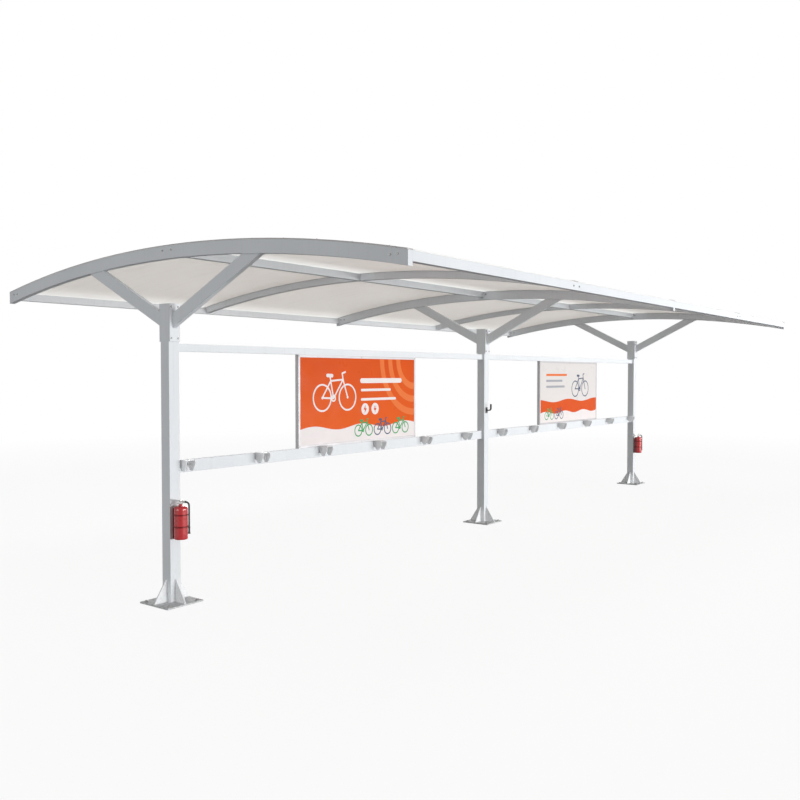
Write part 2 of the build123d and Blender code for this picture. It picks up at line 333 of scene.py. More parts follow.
print_tones = {
    "cream": (srgb(218, 212, 212), srgb(223, 217, 217)),
    "amber": (srgb(212, 108, 56), srgb(218, 116, 62)),
    "orange": (srgb(198, 76, 28), srgb(206, 84, 34)),
    "green": (srgb(62, 146, 88), srgb(72, 156, 98)),
    "slate": (srgb(74, 84, 106), srgb(84, 94, 116)),
    "grey": (srgb(150, 152, 158), srgb(162, 164, 170)),
}
prints = {
    name: moulded(f"{name}_print", *tones, 0.4, specular=PRINT_SPECULAR)
    for name, tones in print_tones.items()
}

finishes = {
    "frame_paint": paint,
    "roof_sheet": roof_sheet(),
    "trim_aluminium": aluminium,
    "socket_plastic": plastic,
    "extinguisher_red": enamel,
    "valve_steel": steel,
    "hose_rubber": rubber,
}
node_finishes = {
    # The gussets take the paler paint, which paints bounce light.
    "base_gussets": bounce_lit_gusset_paint,
    "board_panels_near": orange_panel,
    "board_panels_far": pale_panel,
    "extinguisher_brackets": band_enamel,
}
for part in frame["record"]["subparts"]:
    node = part["node"]
    finish = node_finishes.get(node) or finishes[part["material_slot"]]
    nodes[node].data.materials.clear()
    nodes[node].data.materials.append(finish)


# Mesh helpers

SMOOTH_ANGLE = math.radians(34)


def join_rings(bm, lower, upper):
    """Faces between two closed rings of points, either of which may be a single point."""
    count = max(len(lower), len(upper))
    for step in range(count):
        after = (step + 1) % count
        if len(lower) == 1:
            corners = [lower[0], upper[step], upper[after]]
        elif len(upper) == 1:
            corners = [lower[step], lower[after], upper[0]]
        else:
            corners = [lower[step], lower[after], upper[after], upper[step]]
        bm.faces.new(corners)


def skin(bm, rings, closed=False):
    """A bar through rings of points, capped at its ends or closed on itself."""
    made = [[bm.verts.new(point) for point in ring] for ring in rings]
    for lower, upper in zip(made, made[1:]):
        join_rings(bm, lower, upper)
    if closed:
        join_rings(bm, made[-1], made[0])
        return
    for ring in (made[0], made[-1]):
        if len(ring) > 1:
            bm.faces.new(ring)


def lathe(bm, place, profile, segments=24):
    """A shape turned about the local Z axis, from points given as radius and height."""
    rings = []
    for radius, height in profile:
        turns = range(segments) if radius else range(1)
        angles = [FULL_TURN * step / segments for step in turns]
        spokes = [(radius * math.cos(angle), radius * math.sin(angle)) for angle in angles]
        rings.append([place @ Vector((x, y, height)) for x, y in spokes])
    skin(bm, rings)


def prism(bm, place, outline, low, high):
    """A flat outline carried along the local Z axis from low to high."""
    skin(bm, [[place @ Vector((x, y, height)) for x, y in outline] for height in (low, high)])


def pipe(bm, points, radius, sides=14, closed=False):
    """A round bar along points, which lie in one plane."""
    count = len(points)
    normal = (points[1] - points[0]).cross(points[count // 2] - points[0]).normalized()
    angles = [FULL_TURN * side / sides for side in range(sides)]
    rings = []
    for step, point in enumerate(points):
        before = points[step - 1] if step or closed else point
        after = points[(step + 1) % count] if step + 1 < count or closed else point
        inward = (after - before).normalized().cross(normal)
        rings.append([point + radius * (math.cos(a) * inward + math.sin(a) * normal) for a in angles])
    skin(bm, rings, closed)


def facing(spot, direction, turn=0.0):
    """A place whose local Z axis points along a direction."""
    turned = Vector(direction).to_track_quat("Z", "Y").to_matrix().to_4x4()
    return Matrix.Translation(Vector(spot)) @ turned @ Matrix.Rotation(turn, 4, "Z")


def piece(name, bm, material):
    """Makes the mesh an object that rides with the shelter."""
    bmesh.ops.recalc_face_normals(bm, faces=bm.faces)
    mesh = bpy.data.meshes.new(name)
    bm.to_mesh(mesh)
    bm.free()
    mesh.polygons.foreach_set("use_smooth", [True] * len(mesh.polygons))
    mesh.set_sharp_from_angle(angle=SMOOTH_ANGLE)
    mesh.materials.append(material)
    made = bpy.data.objects.new(name, mesh)
    bpy.context.scene.collection.objects.link(made)
    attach(made, "root")
    return made


# Bolts, screws and anchors

FLANGE_BOLT = 0.008
FLANGE_BOLT_ASIDE = 0.033
FLANGE_BOLT_INSET = 0.026
RIB_BOLT = 0.008
RIB_END_BOLTS = ((0.080, 0.036), (0.140, 0.048))
RIDGE_BOLT_ASIDE = 0.052
RIDGE_BOLT_DROP = 0.032
EAVE_BOLT_ASIDE = 0.052
ANCHOR_BOLT = 0.016
ANCHOR_STAND = 0.002
ANCHOR_NUT_SHARE = 0.4
THREAD_PITCH = 0.002
ROOF_SCREW = 0.0055
ROOF_SCREW_SPACING = 0.32
PAN_SCREW = 0.0065
BOARD_BORDER = 0.024
HOOK_SCREW = 0.004
HOOK_SCREW_ASIDE = 0.0155
HOOK_SCREW_INSET = 0.009
HOOK_PLATE_THICKNESS = 0.004
HOOK_PLATE_HEIGHT = 0.070
TURN_STEP = 0.7


def hex_bolt(bm, spot, direction, size, turn=0.0, head_share=0.64):
    """Washer and chamfered hexagon head on a face, for a thread of a given size."""
    place = facing(spot, direction, turn)
    washer = 0.2 * size
    head = washer + head_share * size
    rim = [(1.02 * size, 0), (1.06 * size, 0.4 * washer), (1.02 * size, washer)]
    lathe(bm, place, [(0, 0), *rim, (0, washer)])
    corner = 0.9 * size
    flank = [(corner, washer), (corner, head - 0.16 * size), (0.84 * corner, head)]
    lathe(bm, place, [(0, washer), *flank, (0, head)], 6)


def pan_screw(bm, spot, direction, size):
    """Domed screw head with a round recess."""
    shares = [(0, 0), (1, 0), (0.96, 0.22), (0.76, 0.46), (0.42, 0.58), (0.36, 0.56)]
    shares += [(0.3, 0.24), (0, 0.24)]
    profile = [(size * radius, size * height) for radius, height in shares]
    lathe(bm, facing(spot, direction), profile, 20)


def anchor_bolt(bm, spot, turn):
    """Anchor stud with washer, thin nut and a short end of open thread."""
    hex_bolt(bm, spot, UP, ANCHOR_BOLT, turn, ANCHOR_NUT_SHARE)
    radius = ANCHOR_BOLT / 2
    root = 0.86 * radius
    start = (0.2 + ANCHOR_NUT_SHARE) * ANCHOR_BOLT
    profile = [(0, start)]
    for step in range(round(ANCHOR_STAND / THREAD_PITCH)):
        height = start + step * THREAD_PITCH
        profile += [(root, height), (radius, height + THREAD_PITCH / 2)]
    top = start + ANCHOR_STAND
    profile += [(root, top), (0.7 * root, top + THREAD_PITCH / 2), (0, top + THREAD_PITCH / 2)]
    lathe(bm, facing(spot, UP, turn), profile, 16)


def frame_bolts():
    """Bolts on the strut flanges, through the rib webs and on the eave beams."""
    bm = bmesh.new()
    spots = []
    low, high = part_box("strut_flanges")
    for end in POST_ENDS:
        for direction, y in ((FRONT, low.y), (BACK, high.y)):
            for x in (post_x[end] - FLANGE_BOLT_ASIDE, post_x[end] + FLANGE_BOLT_ASIDE):
                for z in (low.z + FLANGE_BOLT_INSET, high.z - FLANGE_BOLT_INSET):
                    spots.append(((x, y, z), direction, FLANGE_BOLT))
        web_low, web_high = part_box(f"main_rib_{end}")
        for direction, x in ((LEFT, web_low.x), (RIGHT, web_high.x)):
            for side in (-1, 1):
                places = [(half_span - inset, drop) for inset, drop in RIB_END_BOLTS]
                for across, drop in [*places, (RIDGE_BOLT_ASIDE, RIDGE_BOLT_DROP)]:
                    spot = arch_point(x, side * across, crown_height) + drop * DOWN
                    spots.append((spot, direction, RIB_BOLT))
    for end in BAY_ENDS:
        for direction, y in ((FRONT, -half_span), (BACK, half_span)):
            for x in (bay_x[end] - EAVE_BOLT_ASIDE, bay_x[end] + EAVE_BOLT_ASIDE):
                spots.append(((x, y, (eave_top + eave_foot) / 2), direction, RIB_BOLT))
    for number, (spot, direction, size) in enumerate(spots):
        hex_bolt(bm, spot, direction, size, TURN_STEP * number)
    piece("frame_bolts", bm, dull_steel)


def anchor_bolts():
    """Four anchors at each foot, on the mounts that the record states."""
    bm = bmesh.new()
    for mount in frame["record"]["mounts"]:
        if mount["kind"] != "bolt_pattern":
            continue
        plate_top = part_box(mount["name"].replace("anchors", "base_plate"))[1].z
        reach_x = mount["dims"]["spacing_x_mm"] / 2000
        reach_y = mount["dims"]["spacing_y_mm"] / 2000
        mount_x, mount_y = mount["pos_m"][:2]
        corners = [(x, y) for x in (-reach_x, reach_x) for y in (-reach_y, reach_y)]
        for number, (x, y) in enumerate(corners):
            anchor_bolt(bm, (mount_x + x, mount_y + y, plate_top), TURN_STEP * number)
    piece("anchor_bolts", bm, dull_steel)


def strip_screws():
    """Row of roofing screws with sealing washers along each cover strip."""
    bm = bmesh.new()
    count = round(2 * half_span / ROOF_SCREW_SPACING)
    for x in (*post_x.values(), *bay_x.values()):
        for step in range(count):
            y = half_span * (2 * step + 1 - count) / count
            hex_bolt(bm, arch_point(x, y, strip_top), arch_normal(y), ROOF_SCREW, TURN_STEP * step)
    piece("strip_screws", bm, steel)


def small_screws():
    """Screws at the corners and sides of the board frames and on the plate of the hook."""
    bm = bmesh.new()
    inset = BOARD_BORDER / 2
    for end in BAY_ENDS:
        low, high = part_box(f"board_frame_{end}")
        for direction, y in ((FRONT, low.y), (BACK, high.y)):
            for x in (low.x + inset, (low.x + high.x) / 2, high.x - inset):
                for z in (low.z + inset, high.z - inset):
                    pan_screw(bm, (x, y, z), direction, PAN_SCREW)
    hook_low, hook_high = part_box("post_hook")
    plate_front = hook_high.y - HOOK_PLATE_THICKNESS
    for x in (post_x["middle"] - HOOK_SCREW_ASIDE, post_x["middle"] + HOOK_SCREW_ASIDE):
        for z in (hook_low.z + HOOK_SCREW_INSET, hook_low.z + HOOK_PLATE_HEIGHT - HOOK_SCREW_INSET):
            pan_screw(bm, (x, plate_front, z), FRONT, HOOK_SCREW)
    piece("small_screws", bm, steel)


# Weld beads

BEAD_LEG = 0.006
BEAD_STEP = 0.003
BEAD_SWELL = 0.12
BEAD_SHARES = ((-0.1, -0.1), (1, -0.1), (0.8, 0.5), (0.5, 0.8), (-0.1, 1))
GUSSET_THICKNESS = 0.010
STRUT_DEPTH = 0.100


def weld(bm, start, stop, first, second):
    """Rippled bead along a corner, spread along the two faces that meet there."""
    start, stop = Vector(start), Vector(stop)
    count = max(2, round((stop - start).length / BEAD_STEP))
    rings = []
    for step in range(count + 1):
        spot = start.lerp(stop, step / count)
        leg = BEAD_LEG * (1 + BEAD_SWELL * (-1) ** step)
        rings.append([spot + leg * (a * first + b * second) for a, b in BEAD_SHARES])
    skin(bm, rings)


def foot_welds(end):
    """Beads round the foot of a post and along its four gussets."""
    bm = bmesh.new()
    plate_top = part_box(f"base_plate_{end}")[1].z
    post_low, post_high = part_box(f"post_{end}")
    half = (post_high.x - post_low.x) / 2
    gusset_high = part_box("base_gussets")[1]
    centre = Vector((post_x[end], 0, plate_top))
    for turn in range(4):
        out = Matrix.Rotation(turn * FULL_TURN / 4, 3, "Z") @ RIGHT
        side = UP.cross(out)
        weld(bm, centre + half * (out - side), centre + half * (out + side), out, UP)
        for beside in (-side, side):
            root = centre + half * out + GUSSET_THICKNESS / 2 * beside
            weld(bm, root, root + (gusset_high.y - half) * out, beside, UP)
            weld(bm, root, root + (gusset_high.z - plate_top) * UP, beside, out)
    # The welds take the paler gusset paint, which paints bounce light.
    piece(f"foot_welds_{end}", bm, bounce_lit_gusset_paint)


def rail_welds():
    """Beads round both ends of every rail."""
    bm = bmesh.new()
    for rail in ("upper_rail", "lower_rail"):
        for end in BAY_ENDS:
            low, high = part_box(f"{rail}_{end}")
            corners = [(low.y, low.z), (high.y, low.z), (high.y, high.z), (low.y, high.z)]
            for x, out in ((low.x, RIGHT), (high.x, LEFT)):
                for number, face in enumerate((DOWN, BACK, UP, FRONT)):
                    start = Vector((x, *corners[number]))
                    stop = Vector((x, *corners[(number + 1) % len(corners)]))
                    weld(bm, start, stop, face, out)
    piece("rail_welds", bm, paint)


def strut_welds():
    """Beads round the foot of each strut on its flange and along its head under the rib."""
    bm = bmesh.new()
    for end in POST_ENDS:
        low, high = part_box(f"strut_{end}_back")
        tip_z = arch_point(0, high.y, arch_centre + under_radius).z
        slope = math.atan2(tip_z - low.z, high.y - low.y)
        foot_top = low.z + STRUT_DEPTH / math.cos(slope)
        head = math.sqrt(under_radius ** 2 - (high.z - arch_centre) ** 2)
        for side, out in ((-1, FRONT), (1, BACK)):
            foot_y, head_y, tip_y = side * low.y, side * head, side * high.y
            weld(bm, (low.x, foot_y, low.z), (high.x, foot_y, low.z), DOWN, out)
            weld(bm, (low.x, foot_y, foot_top), (high.x, foot_y, foot_top), UP, out)
            for x, aside in ((low.x, LEFT), (high.x, RIGHT)):
                weld(bm, (x, foot_y, low.z), (x, foot_y, foot_top), aside, out)
                weld(bm, (x, head_y, high.z), (x, tip_y, tip_z), aside, DOWN)
    piece("strut_welds", bm, paint)


# Roof seals

SEAL_WIDTH = 0.006
SEAL_STAND = 0.0024
SEAL_SEAT = 0.0006
SEAL_STEPS = 64


def roof_seals():
    """Rubber lips on the sheets along both edges of every cover strip."""
    bm = bmesh.new()
    strip_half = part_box("roof_cover_strips")[1].x - post_x["far"]
    low_x, high_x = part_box("roof_sheet_1")[0].x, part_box("roof_sheet_4")[1].x
    for seam in (*post_x.values(), *bay_x.values()):
        for side in (-1, 1):
            inner = seam + side * strip_half
            outer = inner + side * SEAL_WIDTH
            if not low_x < outer < high_x:
                continue
            rings = []
            for step in range(SEAL_STEPS + 1):
                y = half_span * (2 * step / SEAL_STEPS - 1)
                foot, top = sheet_top - SEAL_SEAT, sheet_top + SEAL_STAND
                ends = ((inner, foot), (outer, foot), ((inner + 2 * outer) / 3, top), (inner, top))
                rings.append([arch_point(x, y, crown) for x, crown in ends])
            skin(bm, rings)
    piece("roof_seals", bm, rubber)


# Board prints

PRINT_LAYER = 0.0003
PRINT_STEP = 0.000004
PRINT_SEAT = 0.0002
CURVE_STEPS = 40
MITRE_WIDTH = 0.0008
MITRE_STAND = 0.0002


def board_place(node, side):
    """From a drawing, in metres from its lower left corner, to the front or back of a board."""
    low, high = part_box(node)
    if side == "front":
        rows = ((1, 0, 0, low.x), (0, 0, -1, low.y), (0, 1, 0, low.z), (0, 0, 0, 1))
    else:
        rows = ((-1, 0, 0, high.x), (0, 0, 1, high.y), (0, 1, 0, low.z), (0, 0, 0, 1))
    return Matrix(rows), high.x - low.x, high.z - low.z


def arc_points(centre, radius, start, stop, steps=CURVE_STEPS):
    """Points along an arc, with its angles in turns."""
    angles = [FULL_TURN * (start + (stop - start) * step / steps) for step in range(steps + 1)]
    return [(centre[0] + radius * math.cos(a), centre[1] + radius * math.sin(a)) for a in angles]


class Drawing:
    """A print on one side of a board: a mesh for each colour, each shape a little above the last."""

    def __init__(self, end, side):
        self.name = f"board_{end}_{side}"
        self.place, self.width, self.height = board_place(f"board_panels_{end}", side)
        self.meshes = {}
        self.count = 0

    def shape(self, colour, outline, layer=1):
        self.count += 1
        mesh = self.meshes.setdefault(colour, bmesh.new())
        prism(mesh, self.place, outline, -PRINT_SEAT, layer * PRINT_LAYER + self.count * PRINT_STEP)

    def disc(self, colour, centre, radius, layer=1):
        self.shape(colour, arc_points(centre, radius, 0, 1)[:-1], layer)

    def arc(self, colour, centre, outer, inner, start, stop, layer=1):
        there = arc_points(centre, outer, start, stop)
        back = arc_points(centre, inner, stop, start)
        self.shape(colour, there + back, layer)

    def ring(self, colour, centre, outer, inner, layer=1):
        self.arc(colour, centre, outer, inner, 0, 0.5, layer)
        self.arc(colour, centre, outer, inner, 0.5, 1, layer)

    def stroke(self, colour, start, stop, width, layer=1):
        """A bar with round ends."""
        turn = math.atan2(stop[1] - start[1], stop[0] - start[0]) / FULL_TURN
        ends = arc_points(stop, width / 2, turn - 0.25, turn + 0.25, 8)
        ends += arc_points(start, width / 2, turn + 0.25, turn + 0.75, 8)
        self.shape(colour, ends, layer)

    def wave(self, colour, high, swell, turns, phase=0.0, layer=1):
        """A band across the foot of the board with a wavy top."""
        outline = [(0, 0), (self.width, 0)]
        for step in range(CURVE_STEPS, -1, -1):
            share = step / CURVE_STEPS
            rise = swell * math.sin(FULL_TURN * (turns * share + phase))
            outline.append((share * self.width, high + rise))
        self.shape(colour, outline, layer)

    def bicycle(self, colour, foot, radius, layer=1, line_share=0.13):
        """A bicycle seen from the side, from its rear wheel's lowest point."""
        def spot(x, y):
            return (foot[0] + radius * x, foot[1] + radius * (1 + y))

        line = line_share * radius
        hub, crank, seat, head, fork = (0, 0), (1.2, -0.05), (0.9, 1.2), (2.25, 1.3), (2.75, 0)
        for wheel in (hub, fork):
            self.ring(colour, spot(*wheel), radius, radius - line, layer)
            self.disc(colour, spot(*wheel), 0.1 * radius, layer)
        tubes = [(hub, crank), (crank, seat), (hub, seat), (seat, head), (crank, head), (head, fork)]
        tubes += [(seat, (0.82, 1.55)), (head, (2.15, 1.75)), ((2.15, 1.75), (2.5, 1.85))]
        for start, stop in tubes:
            self.stroke(colour, spot(*start), spot(*stop), line, layer)
        self.stroke(colour, spot(0.55, 1.6), spot(1.05, 1.58), 2 * line, layer)
        self.ring(colour, spot(*crank), 0.26 * radius, 0.14 * radius, layer)

    def spark(self, colour, centre, radius, layer=1):
        shares = [(0.2, 1), (-0.6, -0.12), (-0.08, -0.12), (-0.2, -1), (0.6, 0.16), (0.06, 0.16)]
        self.shape(colour, [(centre[0] + radius * x, centre[1] + radius * y) for x, y in shares], layer)

    def plug(self, colour, centre, radius, layer=1):
        x, y = centre
        half, pin = 0.5 * radius, 0.28 * radius
        brow = (x, y + 0.1 * radius)
        self.shape(colour, arc_points(brow, half, 0.5, 1), layer)
        for side in (-1, 1):
            prong = x + side * pin
            self.stroke(colour, (prong, y), (prong, y + 0.62 * radius), 0.2 * radius, layer)
        self.stroke(colour, (x, y - 0.3 * radius), (x, y - 0.85 * radius), 0.18 * radius, layer)

    def finish(self):
        for colour, mesh in self.meshes.items():
            piece(f"{self.name}_{colour}", mesh, prints[colour])


def near_print(side):
    """Orange board: quarter rings, a large bicycle, bars and round symbols over a pale wave."""
    board = Drawing("near", side)
    wide, high = board.width, board.height
    for outer, inner in ((0.60, 0.53), (0.46, 0.39), (0.32, 0.25)):
        board.arc("amber", (wide, high), outer, inner, 0.5, 0.75)
    board.wave("cream", 0.18 * high, 0.022, 2.5, layer=2)
    board.bicycle("cream", (0.17 * wide, 0.37 * high), 0.135, 2)
    bars = ((0.86, 0.050), (0.76, 0.026), (0.81, 0.026))
    for row, (stop, thick) in enumerate(bars):
        y = high * (0.73 - 0.115 * row)
        board.stroke("cream", (0.50 * wide, y), (stop * wide, y), thick, 2)
    for number, symbol in enumerate((board.spark, board.plug)):
        centre = (wide * (0.53 + 0.09 * number), 0.38 * high)
        board.disc("cream", centre, 0.060, 2)
        symbol("orange", centre, 0.043, 3)
    for number, colour in enumerate(("green", "slate", "green")):
        foot = (wide * (0.47 + 0.172 * number), 0.045 * high)
        board.bicycle(colour, foot, 0.062, 3, line_share=0.2)
    board.finish()


def far_print(side):
    """Pale board: an orange wave over a pale one, with a bicycle and a few bars."""
    board = Drawing("far", side)
    wide, high = board.width, board.height
    board.wave("orange", 0.36 * high, 0.02, 2.0, 0.3)
    board.wave("cream", 0.16 * high, 0.018, 3.0, layer=2)
    board.bicycle("slate", (0.60 * wide, 0.41 * high), 0.12)
    for row, (stop, colour) in enumerate(((0.44, "amber"), (0.36, "grey"), (0.40, "grey"))):
        y = high * (0.80 - 0.1 * row)
        board.stroke(colour, (0.10 * wide, y), (stop * wide, y), 0.03)
    for number, colour in enumerate(("green", "slate")):
        foot = (wide * (0.10 + 0.165 * number), 0.04 * high)
        board.bicycle(colour, foot, 0.058, 3, line_share=0.2)
    board.finish()


def frame_mitres():
    """Hairline joints across the corners of the board frames."""
    bm = bmesh.new()
    for end in BAY_ENDS:
        for side in ("front", "back"):
            place, wide, high = board_place(f"board_frame_{end}", side)
            for x, along in ((0, 1), (wide, -1)):
                for y, upward in ((0, 1), (high, -1)):
                    start = Vector((x, y))
                    stop = start + BOARD_BORDER * Vector((along, upward))
                    across = MITRE_WIDTH / 2 * Vector((-upward, along)).normalized()
                    outline = [start - across, stop - across, stop + across, start + across]
                    prism(bm, place, outline, -MITRE_STAND, MITRE_STAND)
    piece("frame_mitres", bm, dark_plastic)


# Socket faces

SOCKET_WIDTH = 0.090
SOCKETS_A_BAY = 6
SOCKET_BLOCK_DEPTH = 0.042
FACE_HALF = (0.033, 0.022)
FACE_CORNER = 0.006
FACE_DROP = 0.030
FACE_DEPTH = 0.0007
RIM_RADIUS = 0.0175
SLOT_HALF = 0.0012
SLOT_SPAN = (0.005, 0.012)
SLOT_STAND = 0.0003
SLOT_TURN = math.radians(115)


def socket_faces():
    """A rounded plate with a rim and three slots in each hood."""
    plates, slots = bmesh.new(), bmesh.new()
    rail_front, rail_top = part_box("lower_rail_near")[0].y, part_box("lower_rail_near")[1].z
    face_y, face_z = rail_front - SOCKET_BLOCK_DEPTH, rail_top - FACE_DROP
    wide, tall = (half - FACE_CORNER for half in FACE_HALF)
    outline = []
    for turn, corner in enumerate(((wide, tall), (-wide, tall), (-wide, -tall), (wide, -tall))):
        outline += arc_points(corner, FACE_CORNER, turn / 4, (turn + 1) / 4, 5)
    rim = [(RIM_RADIUS, FACE_DEPTH), (RIM_RADIUS, 2 * FACE_DEPTH), (0.88 * RIM_RADIUS, 2 * FACE_DEPTH)]
    rim.append((0.86 * RIM_RADIUS, FACE_DEPTH))
    inner, outer = SLOT_SPAN
    bar = [(-SLOT_HALF, inner), (SLOT_HALF, inner), (SLOT_HALF, outer), (-SLOT_HALF, outer)]
    for end in BAY_ENDS:
        low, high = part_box(f"sockets_{end}")
        pitch = (high.x - low.x - SOCKET_WIDTH) / (SOCKETS_A_BAY - 1)
        for number in range(SOCKETS_A_BAY):
            x = low.x + SOCKET_WIDTH / 2 + pitch * number
            place = Matrix(((1, 0, 0, x), (0, 0, -1, face_y), (0, 1, 0, face_z), (0, 0, 0, 1)))
            prism(plates, place, outline, 0, FACE_DEPTH)
            lathe(plates, place, rim, 28)
            for turn in (-1, 0, 1):
                tilt = Matrix.Rotation(turn * SLOT_TURN, 4, "Z")
                prism(slots, place @ tilt, bar, FACE_DEPTH, FACE_DEPTH + SLOT_STAND)
    piece("socket_faces", plates, plastic)
    piece("socket_slots", slots, dark_plastic)


# Fire extinguishers

SHELL_RADIUS = 0.054
NECK_RADIUS = 0.014
COLLAR_RADIUS = 0.017
COLLAR_HEIGHT = 0.006
NECK_LENGTH = 0.016
SHOULDER_RISE = 0.034
SHOULDER_STEPS = 10
SHOULDER_FULLNESS = 0.62
GROOVE_DEPTH = 0.0009
GROOVE_HEIGHTS = (0.028, 0.222)
HEAD_TURN = math.radians(-40)
VALVE_FLAT = 0.0139
OUTLET_REACH = 0.032
HOSE_RADIUS = 0.007
HOSE_RUN = 0.064
HOSE_BEND = 0.030
HOSE_STEPS = 12
NOZZLE_LENGTH = 0.052
GAUGE_RADIUS = 0.013
GAUGE_LIFT = 0.015
GAUGE_STEPS = 28
DIAL_BACK, DIAL_FRONT, NEEDLE_FRONT = 0.0105, 0.0109, 0.0113
PIN_RING_RADIUS = 0.012
PIN_RING_WIRE = 0.0013
PIN_RING_LIFT = 0.034

shell_low, shell_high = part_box("extinguisher_cylinders")


def head_place(end, height):
    """Place on the axis of an extinguisher, turned as its head is."""
    spot = (post_x[end], (shell_low.y + shell_high.y) / 2, height)
    return Matrix.Translation(spot) @ Matrix.Rotation(HEAD_TURN, 4, "Z")


def extinguisher_shells():
    """Turned cylinders with a rolled foot, pressed grooves and a domed shoulder."""
    bm = bmesh.new()
    radius = SHELL_RADIUS
    length = shell_high.z - shell_low.z - NECK_LENGTH
    profile = [(0, 0.014), (0.7 * radius, 0.010), (0.82 * radius, 0.0), (0.9 * radius, 0.0)]
    profile += [(0.97 * radius, 0.0025), (radius, 0.008)]
    for height in GROOVE_HEIGHTS:
        profile += [(radius, height), (radius - GROOVE_DEPTH, height + 0.001)]
        profile += [(radius - GROOVE_DEPTH, height + 0.003), (radius, height + 0.004)]
    for step in range(SHOULDER_STEPS + 1):
        angle = FULL_TURN / 4 * step / SHOULDER_STEPS
        shares = (math.cos(angle), math.sin(angle))
        across, along = (max(share, 0.0) ** SHOULDER_FULLNESS for share in shares)
        outward = COLLAR_RADIUS + (radius - COLLAR_RADIUS) * across
        profile.append((outward, length + SHOULDER_RISE * (along - 1)))
    profile += [(COLLAR_RADIUS, length + COLLAR_HEIGHT), (NECK_RADIUS, length + COLLAR_HEIGHT)]
    profile += [(NECK_RADIUS, length + NECK_LENGTH), (0, length + NECK_LENGTH)]
    for end in BAY_ENDS:
        lathe(bm, head_place(end, shell_low.z), profile, 48)
    shells = piece("extinguisher_shells", bm, enamel)
    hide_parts("extinguisher_cylinders")


def extinguisher_lines():
    """Hoses with crimped sleeves and flared nozzles."""
    bm = bmesh.new()
    low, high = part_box("extinguisher_hoses")
    top = high.z - low.z - HOSE_RADIUS
    points = [Vector((OUTLET_REACH, 0, top))]
    for step in range(HOSE_STEPS + 1):
        angle = FULL_TURN / 4 * (1 - step / HOSE_STEPS)
        across = HOSE_RUN + HOSE_BEND * (math.cos(angle) - 1)
        points.append(Vector((across, 0, top + HOSE_BEND * (math.sin(angle) - 1))))
    points.append(Vector((HOSE_RUN, 0, NOZZLE_LENGTH)))
    sleeve = [(0, -0.001), (0.0085, -0.001), (0.0092, 0.0005), (0.0092, 0.003), (0.0086, 0.004)]
    sleeve += [(0.0092, 0.005), (0.0092, 0.008), (0.0085, 0.009), (0, 0.009)]
    horn = [(0, NOZZLE_LENGTH + 0.004), (0.0086, NOZZLE_LENGTH + 0.004)]
    horn += [(0.0086, NOZZLE_LENGTH - 0.006), (0.0072, NOZZLE_LENGTH - 0.010), (0.0078, 0.020)]
    horn += [(0.0096, 0.0), (0.0086, 0.0), (0.006, 0.012), (0, 0.012)]
    for end in BAY_ENDS:
        place = head_place(end, low.z)
        pipe(bm, [place @ point for point in points], HOSE_RADIUS)
        lathe(bm, place @ facing(points[0], RIGHT), sleeve, 18)
        lathe(bm, place @ Matrix.Translation((HOSE_RUN, 0, 0)), horn, 20)
    lines = piece("extinguisher_lines", bm, rubber)
    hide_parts("extinguisher_hoses")


def extinguisher_trim():
    """Pressure gauges and pin rings on the valve heads."""
    bm, dials, needles = bmesh.new(), bmesh.new(), bmesh.new()
    radius = GAUGE_RADIUS
    case = [(0, -0.004), (0.005, -0.004), (0.005, 0.003), (radius, 0.004), (radius, 0.011)]
    case += [(0.9 * radius, 0.012), (0.86 * radius, DIAL_BACK), (0, DIAL_BACK)]
    dial = [(0, DIAL_BACK), (0.84 * radius, DIAL_BACK), (0.84 * radius, DIAL_FRONT), (0, DIAL_FRONT)]
    needle = [(-0.0008, -0.002), (0.0008, -0.002), (0.0003, 0.008), (-0.0003, 0.008)]
    turns = [FULL_TURN * step / GAUGE_STEPS for step in range(GAUGE_STEPS)]
    centre = Vector((-0.006, -VALVE_FLAT - PIN_RING_RADIUS, PIN_RING_LIFT))
    swings = [Vector((0.25 * math.sin(a), math.cos(a), math.sin(a))) for a in turns]
    loop = [centre + PIN_RING_RADIUS * swing for swing in swings]
    for end in BAY_ENDS:
        head = head_place(end, shell_high.z)
        place = head @ facing((0, -VALVE_FLAT, GAUGE_LIFT), FRONT)
        lathe(bm, place, case, GAUGE_STEPS)
        lathe(dials, place, dial, GAUGE_STEPS)
        prism(needles, place @ Matrix.Rotation(0.5, 4, "Z"), needle, DIAL_FRONT, NEEDLE_FRONT)
        pipe(bm, [head @ point for point in loop], PIN_RING_WIRE, 8, closed=True)
    piece("extinguisher_trim", bm, steel)
    piece("gauge_dials", dials, prints["cream"])
    piece("gauge_needles", needles, dark_plastic)


frame_bolts()
anchor_bolts()
strip_screws()
small_screws()
for post_end in POST_ENDS:
    foot_welds(post_end)
rail_welds()
strut_welds()
roof_seals()
for board_side in ("front", "back"):
    near_print(board_side)
    far_print(board_side)
frame_mitres()
socket_faces()
extinguisher_shells()
extinguisher_lines()
extinguisher_trim()


# Stage, light and camera

FLOOR_HALF = 400.0
FLOOR_GLOW = 0.9
FLOOR_FADE = (9.0, 18.0)
FLOOR_SEEN = (0.85, 0.85, 0.85, 1.0)
FLOOR_BOUNCE = (0.18, 0.18, 0.18, 1.0)
AMBIENT = 0.40
BACKDROP = (1.0, 1.0, 1.0, 1.0)
CAMERA_PLACE = Vector((-9.058, -5.583, 1.821))
CAMERA_YAW = math.radians(37.168)
CAMERA_PITCH = math.radians(-1.683)
FOCAL_PIXELS = 858.6
FRAME_PIXELS = 800
SENSOR = 36.0

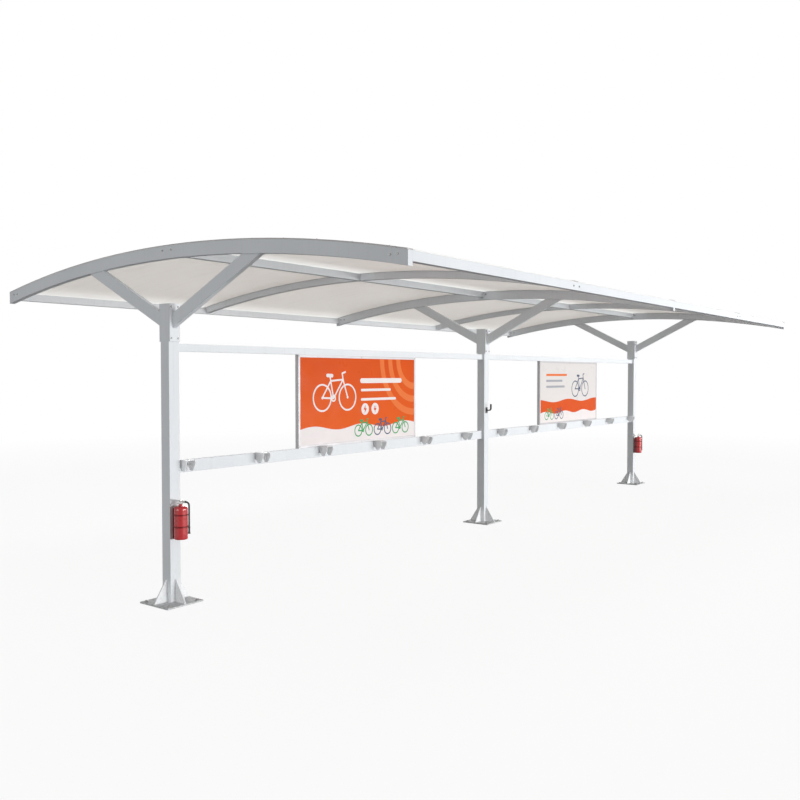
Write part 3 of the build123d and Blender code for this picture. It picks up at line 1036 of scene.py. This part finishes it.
# Each lamp's place, aim, size and power
LAMPS = {
    "front_softbox": ((3, -80, 3.8), (0, 0, 1.5), (22, 6.4), 30500),
    "low_strip": ((7, -17, 0.7), (1, 0, 2.2), (14, 1.1), 2000),
    "top_softbox": ((0, 0, 13), (0, 0, 0), (12, 5), 460),
    "end_softbox": ((-17, 1, 1.4), (0, 0, 1.7), (8, 2.6), 410),
    "back_softbox": ((40, 40, 7), (0, 0, 1.5), (26, 12), 12000),
}


def seen_directly(tree):
    """One for rays that show the backdrop: straight from the camera, mirrored or sent through."""
    path = add_node(tree, "ShaderNodeLightPath")
    direct = math_of(tree, "MAXIMUM", path.outputs["Is Camera Ray"], path.outputs["Is Glossy Ray"])
    return math_of(tree, "MAXIMUM", direct, path.outputs["Is Transmission Ray"])


def make_floor():
    """Pale floor that keeps a soft shadow under a white backdrop."""
    bm = bmesh.new()
    half = FLOOR_HALF
    corners = ((-half, -half), (half, -half), (half, half), (-half, half))
    bm.faces.new([bm.verts.new((x, y, 0)) for x, y in corners])
    mesh = bpy.data.meshes.new("floor")
    bm.to_mesh(mesh)
    bm.free()
    floor = bpy.data.objects.new("floor", mesh)
    bpy.context.scene.collection.objects.link(floor)
    material, tree, shader = new_material("floor")
    seen = seen_directly(tree)
    tree.links.new(mix_colour(tree, seen, FLOOR_BOUNCE, FLOOR_SEEN), shader.inputs["Base Color"])
    shader.inputs["Roughness"].default_value = 1.0
    shader.inputs["Specular IOR Level"].default_value = 0.0
    glow = add_node(tree, "ShaderNodeEmission", {"Color": BACKDROP, "Strength": 1.0})
    away = add_node(tree, "ShaderNodeVectorMath", {0: place_of(tree)}, operation="LENGTH")
    white = remap(tree, away.outputs["Value"], *FLOOR_FADE, FLOOR_GLOW, 1.0)
    share = math_of(tree, "MULTIPLY", seen, white)
    show_mix(tree, share, shader, glow)
    mesh.materials.append(material)


def make_world():
    world = bpy.data.worlds.new("world")
    bpy.context.scene.world = world
    world.use_nodes = True
    tree = world.node_tree
    background = tree.nodes["Background"]
    background.inputs["Color"].default_value = BACKDROP
    strength = remap(tree, seen_directly(tree), 0.0, 1.0, AMBIENT, 1.0)
    tree.links.new(strength, background.inputs["Strength"])


def area_lamp(name, place, aim, size, power):
    lamp = bpy.data.lights.new(name, "AREA")
    lamp.shape = "RECTANGLE"
    lamp.size, lamp.size_y = size
    lamp.energy = power
    made = bpy.data.objects.new(name, lamp)
    made.location = place
    made.rotation_mode = "QUATERNION"
    made.rotation_quaternion = (Vector(aim) - Vector(place)).to_track_quat("-Z", "Y")
    bpy.context.scene.collection.objects.link(made)


def make_lamps():
    for name, (place, aim, size, power) in LAMPS.items():
        area_lamp(name, place, aim, size, power)


def make_camera():
    data = bpy.data.cameras.new("camera")
    data.sensor_width = SENSOR
    data.lens = FOCAL_PIXELS / FRAME_PIXELS * SENSOR
    data.clip_end = 2 * FLOOR_HALF
    camera = bpy.data.objects.new("camera", data)
    flat = math.cos(CAMERA_PITCH)
    forward = Vector((flat * math.cos(CAMERA_YAW), flat * math.sin(CAMERA_YAW), math.sin(CAMERA_PITCH)))
    camera.location = CAMERA_PLACE
    camera.rotation_mode = "QUATERNION"
    camera.rotation_quaternion = forward.to_track_quat("-Z", "Y")
    bpy.context.scene.collection.objects.link(camera)
    bpy.context.scene.camera = camera


make_floor()
make_world()
make_lamps()
make_camera()
bpy.context.scene.view_settings.view_transform = "Standard"
